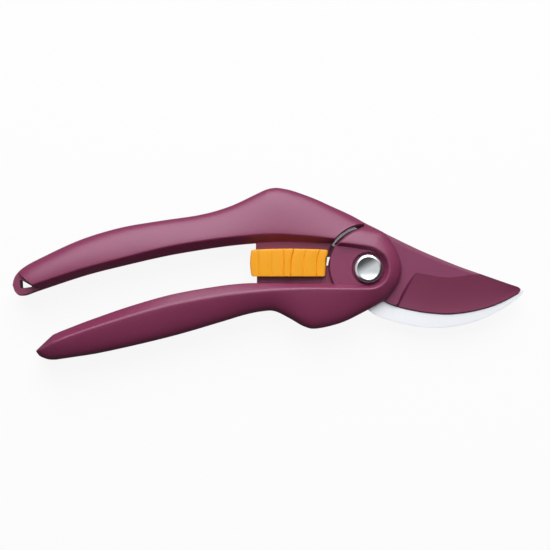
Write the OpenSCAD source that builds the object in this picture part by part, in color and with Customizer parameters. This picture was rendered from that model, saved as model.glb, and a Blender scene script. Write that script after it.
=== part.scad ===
// One-hand bypass pruner, closed and lying on its back.
// The pivot axis is Z. +X points to the blade tips and +Y to the upper handle.
// The resting plane is Z = 0, and the blades slide on each other at half the body's thickness.

/* [Overall] */
// Pivot to the end of the upper handle's hang loop
upper_reach = 141.4; // [120:0.2:170]
// Pivot to the end of the lower handle
lower_reach = 132; // [112:0.5:160]
// Pivot to the tip of the cutting blade
blade_reach = 61.4; // [50:0.2:75]
// Opening angle of the handles
open_angle = 35; // [20:1:40]

/* [Handles] */
// Height of the grips' outer edge, where the crowned faces begin
outer_edge_t = 4; // [2:0.1:5]
// Height of the grips' inner edge, where the slanted face begins
inner_edge_t = 6.4; // [4:0.1:8]
// Thickness of the hang loop
loop_t = 8; // [5:0.1:12]

/* [Pivot head] */
// Radius of the rounded nose in front of the pivot
nose_r = 13.4; // [12.6:0.1:15]
// Radius of the head behind the pivot
head_r = 15.8; // [15:0.1:17]
// Gap between a head and the end of the other handle
head_gap = 1.8; // [1:0.1:3]
// Thickness of the head's floor over the return spring
head_floor_t = 1; // [0.6:0.1:2.5]
// Depth of the recess round the bolt
recess_d = 2.3; // [1.8:0.1:3.5]
// Radius of the recess at its floor
recess_r = 6.5; // [6.2:0.1:8]
// Width of the recess's slanted wall
recess_wall = 1.7; // [0.8:0.1:2.5]

/* [Pivot bolt] */
// Outer diameter of the sleeve that the blades turn on
sleeve_d = 7; // [6:0.1:7.6]
// Diameter of the bolt's shank in the sleeve
shank_d = 5; // [4:0.1:5.4]
// Diameter of the bolt head and the sleeve's flange
bolt_head_d = 11.4; // [10:0.1:12]
// Thickness of the washers under the bolt head and the flange
washer_t = 0.5; // [0.3:0.05:0.7]
// Thickness of the slip washer between the blades
slip_t = 0.3; // [0.2:0.05:0.5]
// Outer diameter of the slip washer
slip_d = 15; // [12:0.5:16]

/* [Blades] */
// Thickness of the cutting blade
blade_t = 2.2; // [1.6:0.1:2.6]
// Thickness of the hook blade
hook_t = 2.6; // [2:0.1:3]
// Radius of both blades round the pivot
blade_hub_r = 12.6; // [11.5:0.1:12.6]
// Thickness of the cutting edge
edge_t = 0.6; // [0.3:0.1:1]
// Diameter of the moulded posts that hold the tangs
post_d = 3.2; // [2:0.1:4]

/* [Return spring] */
// Wire diameter of the return spring
wire_d = 1; // [0.8:0.05:1.1]
// Mean coil radius of the return spring
coil_r = 9.7; // [9.4:0.1:10]
// Rise of the coil per turn
coil_pitch = 1.4; // [1.3:0.05:1.5]
// Number of turns
coil_turns = 1.15; // [1.05:0.01:1.2]

/* [Lock] */
// Length of the thumb buttons
button_l = 30.6; // [26:0.2:34]
// Width of the thumb buttons
button_w = 11.2; // [10:0.1:12]
// Depth of each step of a thumb button
step_d = 0.7; // [0.4:0.05:0.9]
// Travel of the lock from locked to free
lock_travel = 9; // [6:0.5:9]
// Thickness of the two webs that the lock slides on
web_t = 6.4; // [5.6:0.1:7]
// Width of the slot between the webs
slot_w = 3.4; // [3:0.1:4]
// Thickness of the carriage's flanges
flange_t = 1.4; // [1:0.1:1.8]
// Diameter of the pegs that hold the buttons
peg_d = 3; // [2:0.1:3.4]
// Thickness of the detent leaf
leaf_t = 0.3; // [0.2:0.05:0.4]

/* [Fits] */
// Clearance round pieces that are seated or moulded in
seat_gap = 0.05; // [0.03:0.01:0.1]
// Clearance between sliding and turning pieces
run_gap = 0.2; // [0.15:0.01:0.3]

/* [Hidden] */
$fn = 96;
plum = "#7a3d58";
orange = "#f2a22b";
bright_steel = "#c9ccd0";
coated_steel = "#86466a";
eps = 0.01;
far = 4 * upper_reach;

// Stack at the pivot, counted from the plane between the blades: slip washer, blade, spring, floor, recess
slip_z = slip_t / 2;
blade_top = slip_z + blade_t;
hook_bottom = -slip_z - hook_t;
coil_z = blade_top + wire_d / 2 + 0.1;
coil_rise = coil_turns * coil_pitch;
pocket_top = coil_z + coil_rise + wire_d / 2 + 0.15;
floor_z = pocket_top + head_floor_t;
half_t = floor_z + recess_d;
body_t = 2 * half_t;
head_shift = [0.5, 1];
lap_r = head_r + head_gap;

// Grip stations run from the tail to the pivot. Each has the outer point, the inner point, the plan
// width of the slanted inner face, half the thickness there, and half the height of the inner edge.
grip_root = 46;
upper_scale = (upper_reach - grip_root) / 95.4;
lower_scale = (lower_reach - grip_root) / 86;
function upper_x(back) = -grip_root - back * upper_scale;
function lower_x(back) = -grip_root - back * lower_scale;
lip = inner_edge_t / 2;
upper_stations = [
    [upper_x(95.4), -6.2, upper_x(95.3), -7, 0.2, half_t - 4, lip],
    [upper_x(94.6), -2.8, upper_x(94.2), -9.7, 1.4, half_t - 2, lip],
    [upper_x(91.5), 0.6, upper_x(91.4), -10.9, 2.6, half_t - 0.6, lip],
    [upper_x(85), 4.2, upper_x(84.5), -8.6, 3.2, half_t, lip],
    [upper_x(69), 11.4, upper_x(66.5), -2.6, 3.4, half_t, lip],
    [upper_x(53), 16.2, upper_x(49.5), 1.9, 3.4, half_t, lip],
    [upper_x(37), 19, upper_x(34), 5.4, 3.4, half_t, lip],
    [upper_x(21), 21.4, upper_x(19.5), 7.9, 3.4, half_t, lip],
    [upper_x(9), 25, upper_x(8), 9.6, 3.4, half_t, lip],
    [-43, 30.6, -43, 10.4, 3.4, half_t, lip],
    [-36.6, 32.5, -36.6, 10.7, 3.4, half_t, lip],
    [-31, 31.2, -31, 10.7, 3.4, half_t, lip],
    [-19, 27, -22, 10.4, 3.4, half_t, lip],
    [-7, 21.4, -14, 9.6, 2.4, half_t, floor_z],
    [-1, 18, -6, 8.1, 1.9, half_t, floor_z]];
lower_stations = [
    [lower_x(85.9), -33.4, lower_x(86), -32.6, 0.2, half_t - 4, lip],
    [lower_x(84.6), -35, lower_x(84.8), -31.2, 0.8, half_t - 2.5, lip],
    [lower_x(80), -36.4, lower_x(81), -27.6, 2.2, half_t - 0.6, lip],
    [lower_x(75), -35.9, lower_x(78), -25.8, 3, half_t, lip],
    [lower_x(61), -33.4, lower_x(63.5), -20.1, 3.3, half_t, lip],
    [lower_x(45), -29.8, lower_x(48), -14.8, 3.4, half_t, lip],
    [lower_x(29), -25.8, lower_x(31.5), -10.3, 3.4, half_t, lip],
    [lower_x(13), -21.2, lower_x(14.5), -7.3, 3.4, half_t, lip],
    [-49, -18.1, -50, -6, 3.4, half_t, lip],
    [-42, -16.9, -42, -5.8, 2.8, half_t, lip],
    [-37, -17, -37, -5.8, 2.3, half_t, lip],
    [-31, -19.8, -31, -5.9, 1.9, half_t, lip],
    [-25.5, -22.9, -26, -6, 1.7, half_t, lip],
    [-20.5, -23.7, -20.5, -6.1, 1.7, half_t, lip],
    [-11, -21.4, -13, -6.2, 1.7, half_t, floor_z],
    [-3, -17.8, -6, -6.3, 1.7, half_t, floor_z]];

// Rim stations carry a handle round the bolt: in over one cheek, round the nose, out over the other cheek
upper_cheek = [[6.4, 14.3, 0.6, 6.9, recess_wall, half_t, floor_z]];
lower_cheek = [[6.2, -12.9, 1.2, -6.4, recess_wall, half_t, floor_z]];
nose = [for (a = [-45 : 22.5 : 45]) let (d = [cos(a), sin(a)])
    concat(nose_r * d, recess_r * d, [recess_wall, half_t, floor_z])];
nose_back = [for (i = [len(nose) - 1 : -1 : 0]) nose[i]];
upper_out = [[0.4, 17.3, -4.4, 7.8, recess_wall, half_t, floor_z],
    [-6, 20.6, -11.6, 8.8, recess_wall, half_t, floor_z],
    [-12, 23.6, -18, 9.4, recess_wall, half_t, floor_z]];
lower_out = [[0, -16.2, -4.4, -7.4, recess_wall, half_t, floor_z],
    [-6, -19.4, -11.6, -8.4, recess_wall, half_t, floor_z],
    [-12, -22.2, -18, -9, recess_wall, half_t, floor_z]];
lower_front = concat(lower_stations, lower_cheek, nose, upper_cheek, upper_out);
upper_rear = concat(upper_stations, upper_cheek, nose_back, lower_cheek, lower_out);
rings_per_station = 3;
crown_steps = 5;
crown_bulge = 0.85;

// Hang loop: the raised grip ends on a slanted line, and the hole lies beyond it
loop_line = [[upper_x(93.4), -3.2], [upper_x(87.2), -8]];
loop_hole = [[upper_x(92.4), -4.7], [upper_x(88.2), -7.5], [upper_x(91.8), -8.1]];
loop_hole_r = 0.5;

// Blade outlines: each edge is one bend between two points
blade_root = [6.4, 14.3];
blade_span = blade_reach - blade_root.x;
tip_r = 1.4;
tip_at = [blade_reach - tip_r, -8.6];
blade_top_edge = [blade_root, [blade_root.x + 0.37 * blade_span, 3.6], tip_at + [0, 0.95 * tip_r]];
blade_cut_edge = [tip_at + [0.3, -0.9 * tip_r], [blade_root.x + 0.52 * blade_span, -24.4], [6.6, -13.5]];
hook_tip = tip_at + [2.1, -1.2];
hook_outer_edge = [[0.6, -16.8], [0.49 * blade_reach, -33], hook_tip];
hook_inner_edge = [hook_tip + [0.2, 1], [0.49 * blade_reach, -21], [10.5, -7]];
hook_root_a = atan2(-17.6, 1.8) + 360;
ground_edge = [[19, -1.5], [11.8, -14.9]];
ground_drop_w = 15.5;
plate_blend = 2;
blade_tang = [[-46, -8.8], [-12, -7], [0, 0], [2, -12], [-14, -17], [-30, -15], [-46, -13.6]];
blade_posts = [[-41, -11.2], [-28, -12]];
hook_tang = [[-48, 14], [-20, 12.6], [-14.8, 9.6], [0, 0], [-4.4, 16.3], [-18, 22], [-48, 19.5]];
hook_posts = [[-42, 16.8], [-27, 17.2]];

// Return spring: one leg drops through the cutting blade into the hook, the other lies in the head
leg_a = 20;
leg_l = 6;
elbow_r = 1.2;
wire_sides = 8;

// Lock: the webs stand either side of the slot, and the carriage clasps both
slot_y = 2.9;
button_x = -head_r - 0.4 - button_l / 2;
button_y = slot_y - 0.3;
button_r = 1;
button_top = half_t - 0.2;
bands = [1.7, 6.6, 11.6];
web_end = -button_x + button_l / 2 - 2.3;
rail_end = head_r + 4;
flange_z = web_t / 2 + run_gap;
button_z = flange_z + flange_t;
carriage_l = button_l - 4.6;
flange_w = button_w - 1.8;
core_w = slot_w - 2 * run_gap;
neck_t = 2;
tongue_t = 4;
tongue_l = 12;
tongue_x = button_x - 2.5;
tongue_rise = 4.4;
tongue_head = 1.4;
rib_drop = 2.8;
rib_x = button_x - 8.5;
rib_l = 16;
peg_x = 9;
leaf_l = 8;
leaf_bump = 0.9;
notch_r = 1.1;

// Points of a bend from a to c that leaves and arrives along the lines to b
function bend(p, n) = [for (i = [0 : n]) let (t = i / n)
    (1 - t) * (1 - t) * p[0] + 2 * t * (1 - t) * p[1] + t * t * p[2]];

// A smooth row of stations through the given ones
function through(a, b, c, d, t) = b + 0.5 * t * (c - a
    + t * (2 * a - 5 * b + 4 * c - d + t * (3 * (b - c) + d - a)));
function smooth(p, n) = [for (i = [0 : len(p) - 2], k = [0 : n - 1])
    through(p[max(i - 1, 0)], p[i], p[i + 1], p[min(i + 2, len(p) - 1)], k / n), p[len(p) - 1]];

// One ring of a grip: the slanted inner face, and crowned faces that fall to the outer edge
function ring(s) = let (
    inner = [s[2], s[3]],
    across = [s[0], s[1]] - inner,
    w = norm(across),
    h = min(s[5], half_t),
    side = min(outer_edge_t / 2, 0.5 * h),
    crown = [for (k = [0 : crown_steps]) let (a = 90 * k / crown_steps)
        [s[4] + (w - s[4]) * pow(sin(a), crown_bulge), side + (h - side) * pow(cos(a), crown_bulge)]],
    half = concat([[0, min(s[6], floor_z, 0.7 * h)]], crown),
    loop = concat([for (p = half) [p.x, -p.y]], [for (i = [len(half) - 1 : -1 : 0]) half[i]]))
    [for (p = loop) concat(inner + across * p.x / w, [p.y])];

// The skin of a handle over all its rings
module handle_skin(stations, flip) {
    skin([for (s = smooth(stations, rings_per_station)) ring(s)], flip);
}

function flipped(faces, flip) = flip ? [for (f = faces) [for (i = [len(f) - 1 : -1 : 0]) f[i]]] : faces;

// A solid skinned over rings of equal length
module skin(rings, flip = false) {
    m = len(rings[0]);
    last = len(rings) - 1;
    points = [for (r = rings, p = r) p];
    sides = [for (i = [0 : last - 1], k = [0 : m - 1], half = [0, 1])
        let (a = i * m + k, b = i * m + (k + 1) % m)
        half == 0 ? [a, b + m, b] : [a, a + m, b + m]];
    ends = [[for (k = [0 : m - 1]) k], [for (k = [m - 1 : -1 : 0]) last * m + k]];
    polyhedron(points, flipped(concat(sides, ends), flip), convexity = 8);
}

module stand() {
    translate([0, 0, half_t]) children();
}

// Plan of a pivot head: round nose, two cheeks that meet the handles' lines, round back
module head_plan(side) {
    circle(nose_r);
    polygon([[-1, 17.2], [6.4, 14.3], [9.4, 10.6], [11.6, 6.7], [0, 0]]);
    polygon([[-1, -16.8], [6.2, -12.7], [9.6, -9.6], [11.6, -6.7], [0, 0]]);
    intersection() {
        translate([head_shift.x, side * head_shift.y]) circle(head_r);
        translate([-40, -20]) square([41, 40]);
    }
}

// Floor of the recess round the bolt, open towards the lock, and the foot that the rim stands on
module head_floor(side) {
    floor_h = floor_z - slip_z;
    foot_h = blade_top - slip_z + 0.6;
    foot_inset = 0.4;
    under = recess_r + 0.6 * recess_wall;
    flare = 2;
    translate([0, 0, slip_z]) intersection() {
        linear_extrude(floor_h) head_plan(side);
        union() {
            cylinder(h = floor_h, r = under);
            linear_extrude(floor_h)
                polygon([[0, -under], [-lap_r, -under - flare], [-lap_r, under + flare], [0, under]]);
            linear_extrude(foot_h) offset(delta = -foot_inset) head_plan(side);
        }
    }
}

// What a rim leaves outside its head on the far side of the pivot
module beyond_head(side) {
    reach = 3 * lap_r;
    start = side > 0 ? recess_r / 2 : -reach - recess_r / 2;
    difference() {
        translate([-reach, start, -body_t]) cube([2 * reach, reach, 2 * body_t]);
        translate([head_shift.x, side * head_shift.y, -2 * body_t]) cylinder(h = 4 * body_t, r = head_r);
    }
}

// Everything on one side of a level, up or down
module past_level(z, up) {
    translate([-far / 2, -far / 2, up ? z : z - body_t]) cube([far, far, body_t]);
}

// Round space that a handle leaves free for the other handle's head
module lap_space(side) {
    translate([head_shift.x, side * head_shift.y, 0]) cylinder(h = body_t, r = lap_r);
}

// Fan between the lap angle and the +X axis, which the hook sweeps as the handles open
module hook_sweep() {
    from = hook_root_a - open_angle - 5;
    reach = 45;
    linear_extrude(body_t)
        polygon(concat([[0, 0]], [for (k = [0 : 6]) let (a = from + k * (350 - from) / 6)
            reach * [cos(a), sin(a)]]));
}

// Blends the inner corners where flat shapes meet
module blended(r) {
    offset(r = -r) offset(delta = r) children();
}

module blade_plan() {
    blended(plate_blend) {
        circle(blade_hub_r);
        polygon(concat(bend(blade_top_edge, 14), bend(blade_cut_edge, 14), [[0, 0]]));
        translate(tip_at) circle(tip_r);
        polygon(blade_tang);
    }
}

module hook_plan() {
    blended(plate_blend) {
        circle(blade_hub_r);
        polygon(concat(bend(hook_outer_edge, 16), bend(hook_inner_edge, 14), [[0, 0], [-7, -9.5]]));
        polygon(hook_tang);
    }
}

module posts(places, d) {
    for (p = places) translate(p) circle(d = d);
}

// Space that a handle leaves for a moulded-in blade, with its posts standing
module blade_space(z0, t) {
    translate([0, 0, z0 - seat_gap]) linear_extrude(t + 2 * seat_gap) children();
}

// The lock's rail in the upper web: a neck slot that opens into a wider head slot
module rail_space() {
    x0 = -web_end - 1;
    run = web_end + 1 - rail_end;
    y0 = slot_y + slot_w / 2;
    neck_h = tongue_rise - tongue_head;
    translate([x0, y0 - 1, -neck_t / 2 - run_gap]) cube([run, neck_h + 1, neck_t + 2 * run_gap]);
    translate([x0, y0 + neck_h - 2 * run_gap, -tongue_t / 2 - run_gap])
        cube([run, tongue_head + 2 * run_gap, tongue_t + 2 * run_gap]);
    for (x = [0, -lock_travel])
        translate([tongue_x + tongue_l / 2 + x, y0 + tongue_rise, -tongue_t / 2])
        cylinder(h = tongue_t, r = notch_r);
}

// Web beside the lock's slot, from the grip to the head
module web(y0, y1) {
    translate([-web_end, y0, -web_t / 2]) cube([web_end - 8, y1 - y0, web_t]);
}

module upper_handle() {
    color(plum) difference() {
        union() {
            difference() {
                union() {
                    handle_skin(upper_stations, false);
                    web(slot_y + slot_w / 2, 12);
                }
                translate([0, 0, -slip_z]) lap_space(1);
                past_level(-slip_z, false);
            }
            difference() {
                union() {
                    handle_skin(upper_rear, false);
                    web(slot_y + slot_w / 2, 12);
                    mirror([0, 0, 1]) head_floor(-1);
                }
                beyond_head(-1);
                past_level(-slip_z, true);
            }
        }
        translate([0, 0, -body_t]) cylinder(h = 2 * body_t, d = sleeve_d + 2 * seat_gap);
        blade_space(-slip_z - hook_t, hook_t) difference() {
            offset(delta = seat_gap) hook_plan();
            posts(hook_posts, post_d - 2 * seat_gap);
        }
        rail_space();
        loop_cuts();
    }
}

// The hang loop is thinner than the grip, and has a three-sided hole
module loop_cuts() {
    run = loop_line[1] - loop_line[0];
    beyond = [run.y, -run.x] * 4;
    near = loop_line[0] - 2 * run;
    far = loop_line[1] + 2 * run;
    for (side = [0, 1]) mirror([0, 0, side]) translate([0, 0, loop_t / 2])
        linear_extrude(body_t) polygon([near, far, far + beyond, near + beyond]);
    translate([0, 0, -body_t]) linear_extrude(2 * body_t) offset(r = loop_hole_r) polygon(loop_hole);
}

module lower_handle() {
    rib_space_d = rib_drop + run_gap;
    color(plum) difference() {
        union() {
            difference() {
                union() {
                    handle_skin(lower_stations, true);
                    web(-7, slot_y - slot_w / 2);
                }
                translate([0, 0, slip_z - body_t]) lap_space(-1);
                translate([0, 0, slip_z - body_t]) hook_sweep();
                past_level(slip_z, true);
            }
            difference() {
                union() {
                    handle_skin(lower_front, true);
                    web(-7, slot_y - slot_w / 2);
                    head_floor(1);
                }
                beyond_head(1);
                past_level(slip_z, false);
            }
        }
        translate([0, 0, -body_t]) cylinder(h = 2 * body_t, d = sleeve_d + 3 * run_gap);
        blade_space(slip_z, blade_t) difference() {
            offset(delta = seat_gap) blade_plan();
            posts(blade_posts, post_d - 2 * seat_gap);
        }
        spring_space();
        translate([-web_end - 1, slot_y - slot_w / 2 - rib_space_d, -neck_t / 2 - run_gap])
            cube([web_end + 1 - rail_end, rib_space_d + 1, neck_t + 2 * run_gap]);
    }
}

// Ring pocket for the coil, and a straight slot for its fixed leg
module spring_space() {
    r_out = coil_r + wire_d / 2 + 0.5;
    r_in = coil_r - wire_d / 2 - 0.5;
    translate([0, 0, slip_z]) difference() {
        cylinder(h = pocket_top - slip_z, r = r_out);
        translate([0, 0, -1]) cylinder(h = pocket_top + 2, r = r_in);
    }
    rotate(leg_a + 360 * coil_turns)
        translate([coil_r - wire_d / 2 - 0.3, 0, coil_z + coil_rise - wire_d / 2 - 0.3])
        cube([wire_d + 0.6, leg_l + 0.5, pocket_top - coil_z - coil_rise + wire_d / 2 + 0.3]);
}

module cutting_blade() {
    tilt = atan((blade_t - edge_t) / ground_drop_w);
    run = ground_edge[1] - ground_edge[0];
    color(coated_steel) difference() {
        translate([0, 0, slip_z]) linear_extrude(blade_t) difference() {
            blade_plan();
            circle(d = sleeve_d + 2 * seat_gap);
            posts(blade_posts, post_d);
            leg_slot();
        }
        intersection() {
            translate([0, ground_edge[0].y - 1, blade_top]) rotate([tilt, 0, 0]) translate([0, -60, 0])
                cube([120, 90, 20]);
            linear_extrude(20)
                polygon([ground_edge[0], ground_edge[0] + 2 * run, [120, -40], [120, 20], [40, 20]]);
        }
    }
}

// Arc in the cutting blade that lets the spring's dropped leg swing
module leg_slot() {
    w = wire_d / 2 + run_gap;
    margin = 8;
    intersection() {
        difference() {
            circle(coil_r + w);
            circle(coil_r - w);
        }
        polygon(concat([[0, 0]], [for (k = [0 : 4])
            let (a = leg_a + margin - k * (open_angle + 2 * margin) / 4) 20 * [cos(a), sin(a)]]));
    }
}

module hook_blade() {
    color(bright_steel) translate([0, 0, hook_bottom]) linear_extrude(hook_t) difference() {
        hook_plan();
        circle(d = sleeve_d + 2 * seat_gap);
        posts(hook_posts, post_d);
        rotate(leg_a) translate([coil_r, 0]) circle(d = wire_d + 2 * seat_gap);
    }
}

// Barrel nut from the back: its flange is flush with the resting plane
module pivot_sleeve() {
    flange_top = -floor_z - washer_t;
    barrel_top = floor_z - run_gap;
    chamfer = 0.4;
    color(bright_steel) difference() {
        union() {
            translate([0, 0, -half_t])
                cylinder(h = chamfer, d1 = bolt_head_d - 2 * chamfer, d2 = bolt_head_d);
            translate([0, 0, -half_t + chamfer])
                cylinder(h = flange_top + half_t - chamfer, d = bolt_head_d);
            translate([0, 0, flange_top - eps]) cylinder(h = barrel_top - flange_top + eps, d = sleeve_d);
        }
        translate([0, 0, flange_top]) cylinder(h = body_t, d = shank_d + 2 * seat_gap);
    }
}

// Front bolt with a wide chamfer and a dished face
module pivot_bolt() {
    under = floor_z + washer_t;
    top = half_t - 0.2;
    chamfer = 1;
    dish = 0.3;
    shank_end = -floor_z - washer_t + 0.5;
    r = bolt_head_d / 2;
    face_r = r - chamfer - dish;
    color(bright_steel) rotate_extrude()
        polygon([[0, shank_end], [shank_d / 2, shank_end], [shank_d / 2, under], [r, under],
            [r, top - 0.6 * chamfer], [r - chamfer, top], [face_r, top - dish], [0, top - dish]]);
}

// Washer whose rim is slightly lower than its bore
module washer(inner_d, outer_d, t, dish) {
    rotate_extrude()
        polygon([[inner_d / 2, dish], [outer_d / 2, 0], [outer_d / 2, t - dish], [inner_d / 2, t]]);
}

module front_washer() {
    color(bright_steel) translate([0, 0, floor_z + seat_gap])
        washer(shank_d + 2 * seat_gap, bolt_head_d - 0.6, washer_t - seat_gap, 0.15);
}

module blade_washer() {
    color(bright_steel) translate([0, 0, -slip_z])
        washer(sleeve_d + 2 * seat_gap, slip_d, slip_t - seat_gap, 0);
}

module rear_washer() {
    color(bright_steel) translate([0, 0, -floor_z - washer_t])
        washer(sleeve_d + 2 * seat_gap, bolt_head_d - 0.6, washer_t, 0);
}

// One ring of the wire at an angle round the pivot, climbing at the given slope
function wire_ring(a, z, slope) = [for (k = [0 : wire_sides - 1])
    let (b = 360 * k / wire_sides,
        out = coil_r + wire_d / 2 * cos(b),
        up = wire_d / 2 * sin(b) * cos(slope),
        back = wire_d / 2 * sin(b) * sin(slope))
    [out * cos(a) + back * sin(a), out * sin(a) - back * cos(a), z + up]];

// Wire with a dropped leg through both blades, an elbow, a coil and a straight fixed leg
module return_spring() {
    per_turn = 24;
    n = ceil(coil_turns * per_turn);
    lean = atan(coil_pitch / (2 * PI * coil_r));
    per_mm = 180 / PI / coil_r;
    dropped = [wire_ring(leg_a, hook_bottom + 0.3, 90)];
    elbow = [for (e = [90 : -22.5 : 20])
        wire_ring(leg_a + elbow_r * (1 - sin(e)) * per_mm, coil_z - elbow_r * (1 - cos(e)), e)];
    start_a = leg_a + elbow_r * per_mm;
    end_a = leg_a + 360 * coil_turns;
    coil = [for (i = [0 : n])
        wire_ring(start_a + (end_a - start_a) * i / n, coil_z + coil_rise * i / n, lean)];
    fixed = [for (p = coil[n]) p + leg_l * [-sin(end_a), cos(end_a), 0]];
    color(bright_steel) skin(concat(dropped, elbow, coil, [fixed]), true);
}

// Sliding core: two flanges clasp the webs, a tongue runs in the rail, a rib runs in the lower web
module lock_carriage() {
    core_y = slot_y - core_w / 2;
    tongue_top = slot_y + slot_w / 2 + tongue_rise - run_gap;
    color(orange) difference() {
        union() {
            translate([button_x - carriage_l / 2, core_y, -flange_z - eps])
                cube([carriage_l, core_w, 2 * flange_z + 2 * eps]);
            for (side = [0, 1]) mirror([0, 0, side])
                translate([button_x - carriage_l / 2, button_y - flange_w / 2, flange_z])
                cube([carriage_l, flange_w, flange_t]);
            translate([tongue_x, slot_y, -neck_t / 2]) cube([tongue_l, tongue_top - slot_y, neck_t]);
            translate([tongue_x, tongue_top - tongue_head + run_gap, -tongue_t / 2])
                cube([tongue_l, tongue_head - run_gap, tongue_t]);
            translate([rib_x, slot_y - slot_w / 2 - rib_drop, -neck_t / 2])
                cube([rib_l, rib_drop + 1, neck_t]);
        }
        for (x = [-peg_x, peg_x]) translate([button_x + x, button_y, -body_t])
            cylinder(h = 2 * body_t, d = peg_d + 2 * seat_gap);
        translate([tongue_x + tongue_l / 2 - leaf_l / 2 - seat_gap, tongue_top - leaf_t, -tongue_t])
            cube([leaf_l + 2 * seat_gap, 2, 2 * tongue_t]);
    }
}

// Stepped thumb button with a skirt over the carriage's flange and two pegs
module lock_button() {
    half_l = button_l / 2;
    steps = concat([for (i = [0 : len(bands) - 1]) let (z = button_top - i * step_d)
        each [[bands[i], z], [bands[i], z - step_d]]], [[half_l, button_top - len(bands) * step_d]]);
    left = [for (i = [len(steps) - 1 : -1 : 0]) [-steps[i].x, steps[i].y]];
    profile = concat([[half_l, flange_z], [-half_l, flange_z]], left, steps);
    translate([button_x, button_y, 0]) {
        difference() {
            intersection() {
                translate([0, button_w / 2, 0]) rotate([90, 0, 0]) linear_extrude(button_w) polygon(profile);
                linear_extrude(body_t) offset(r = button_r)
                    square([button_l - 2 * button_r, button_w - 2 * button_r], center = true);
            }
            translate([-carriage_l / 2 - seat_gap, -flange_w / 2 - seat_gap, 0])
                cube([carriage_l + 2 * seat_gap, flange_w + 2 * seat_gap, button_z + seat_gap]);
        }
        for (x = [-peg_x, peg_x]) translate([x, 0, flange_z]) cylinder(h = flange_t + 0.5, d = peg_d);
    }
}

module lock_button_front() {
    color(orange) lock_button();
}

module lock_button_rear() {
    color(orange) mirror([0, 0, 1]) lock_button();
}

// Arched leaf: its ends sit on the tongue, and its crown clicks into the rail's notches
module lock_detent_spring() {
    seat_y = slot_y + slot_w / 2 + tongue_rise - run_gap - leaf_t;
    rise = leaf_bump - leaf_t;
    crown = [[-leaf_l / 2, 0], [-1.2, 0], [-0.3, rise], [0.3, rise], [1.2, 0], [leaf_l / 2, 0]];
    outline = concat(crown, [for (i = [len(crown) - 1 : -1 : 0]) crown[i] + [0, leaf_t]]);
    color(bright_steel) translate([tongue_x + tongue_l / 2, seat_y, -tongue_t / 2 + 0.3])
        linear_extrude(tongue_t - 0.6) polygon(outline);
}

stand() upper_handle();
stand() lower_handle();
stand() cutting_blade();
stand() hook_blade();
stand() pivot_sleeve();
stand() pivot_bolt();
stand() front_washer();
stand() blade_washer();
stand() rear_washer();
stand() return_spring();
stand() lock_carriage();
stand() lock_button_front();
stand() lock_button_rear();
stand() lock_detent_spring();
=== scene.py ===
import math

import bmesh
import bpy
import numpy as np
from mathutils import Matrix


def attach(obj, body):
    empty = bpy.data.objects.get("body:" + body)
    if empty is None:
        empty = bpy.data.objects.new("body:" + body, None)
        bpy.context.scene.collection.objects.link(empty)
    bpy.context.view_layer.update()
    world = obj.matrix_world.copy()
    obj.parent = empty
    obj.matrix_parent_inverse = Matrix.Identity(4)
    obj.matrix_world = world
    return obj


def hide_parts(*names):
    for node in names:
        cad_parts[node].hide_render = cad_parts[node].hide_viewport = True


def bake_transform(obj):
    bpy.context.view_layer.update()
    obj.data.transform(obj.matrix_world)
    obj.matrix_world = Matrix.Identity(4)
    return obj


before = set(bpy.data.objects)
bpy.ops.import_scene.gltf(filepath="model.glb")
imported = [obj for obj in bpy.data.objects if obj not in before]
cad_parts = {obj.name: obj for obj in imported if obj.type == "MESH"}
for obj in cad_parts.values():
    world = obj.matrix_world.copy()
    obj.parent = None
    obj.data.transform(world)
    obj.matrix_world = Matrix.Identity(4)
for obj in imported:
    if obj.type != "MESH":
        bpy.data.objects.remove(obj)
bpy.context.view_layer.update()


# Upper handle: the longer grip, moulded in one shot from glass-filled polyamide round the hook blade's tang.
# Its front half stops at the gap round the other handle's head, its rear half runs on round the pivot nut,
# and a thin web inside it carries the lock. All sizes are in mm, counted from the plane between the blades.
half_t = 8.51
slip_z = 0.15
floor_z = 6.21
lip_z = 3.2
parting = 0.2
side_z = 2.0
# A crown's flat share, power and drop at the outer edge, which go from the tail's to the grip's over tail_x
upper_crown, upper_tail_crown = (0.28, 2.0, 0.58), (0.03, 2.6, 0.58)
tail_x = (-124.0, -82.0)
edge_power, edge_root = 11, 0.45
upper_ridge_r = 0.65
lip_r = 0.4
end_edge = 0.5
tuck = 0.4
tuck_inset = 0.02
nose_r = 13.4
recess_r = 6.5
recess_wall = 1.7

# Stations along the handles: x and y of the outer edge, x and y of the inner edge, width of the slanted face,
# height of the ridge and height of the lip
upper_grip = np.array([
    [-141.4, -6.2, -141.3, -7.0, 0.2, 4.51, lip_z],
    [-140.6, -3.1, -140.2, -9.7, 1.4, 6.51, lip_z],
    [-137.5, 0.2, -137.4, -10.9, 2.6, 7.91, lip_z],
    [-131.0, 3.9, -130.5, -8.6, 2.75, half_t, lip_z],
    [-115.0, 11.3, -112.5, -2.7, 2.6, half_t, lip_z],
    [-99.0, 16.2, -95.5, 1.6, 2.85, half_t, lip_z],
    [-83.0, 19.0, -80.0, 5.1, 3.2, half_t, lip_z],
    [-67.0, 21.4, -65.5, 7.6, 3.25, half_t, lip_z],
    [-55.0, 24.8, -54.0, 9.2, 3.1, half_t, lip_z],
    [-43.0, 30.4, -43.0, 10.2, 3.1, half_t, lip_z],
    [-39.8, 31.7, -39.8, 10.4, 3.05, half_t, lip_z],
    [-36.6, 32.2, -36.6, 10.6, 2.9, half_t, lip_z],
    [-33.4, 31.8, -33.6, 10.65, 2.75, half_t, lip_z],
    [-30.0, 31.0, -30.6, 10.6, 2.6, half_t, lip_z],
    [-24.6, 29.15, -26.4, 10.5, 2.4, half_t, lip_z],
    [-19.0, 26.9, -22.0, 10.3, 2.25, half_t, lip_z]])
upper_front_end = np.array([
    [-9.5, 22.45, -17.4, 10.0, 2.0, half_t, lip_z],
    [-1.1, 17.85, -14.2, 9.8, 1.8, half_t, lip_z]])
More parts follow.
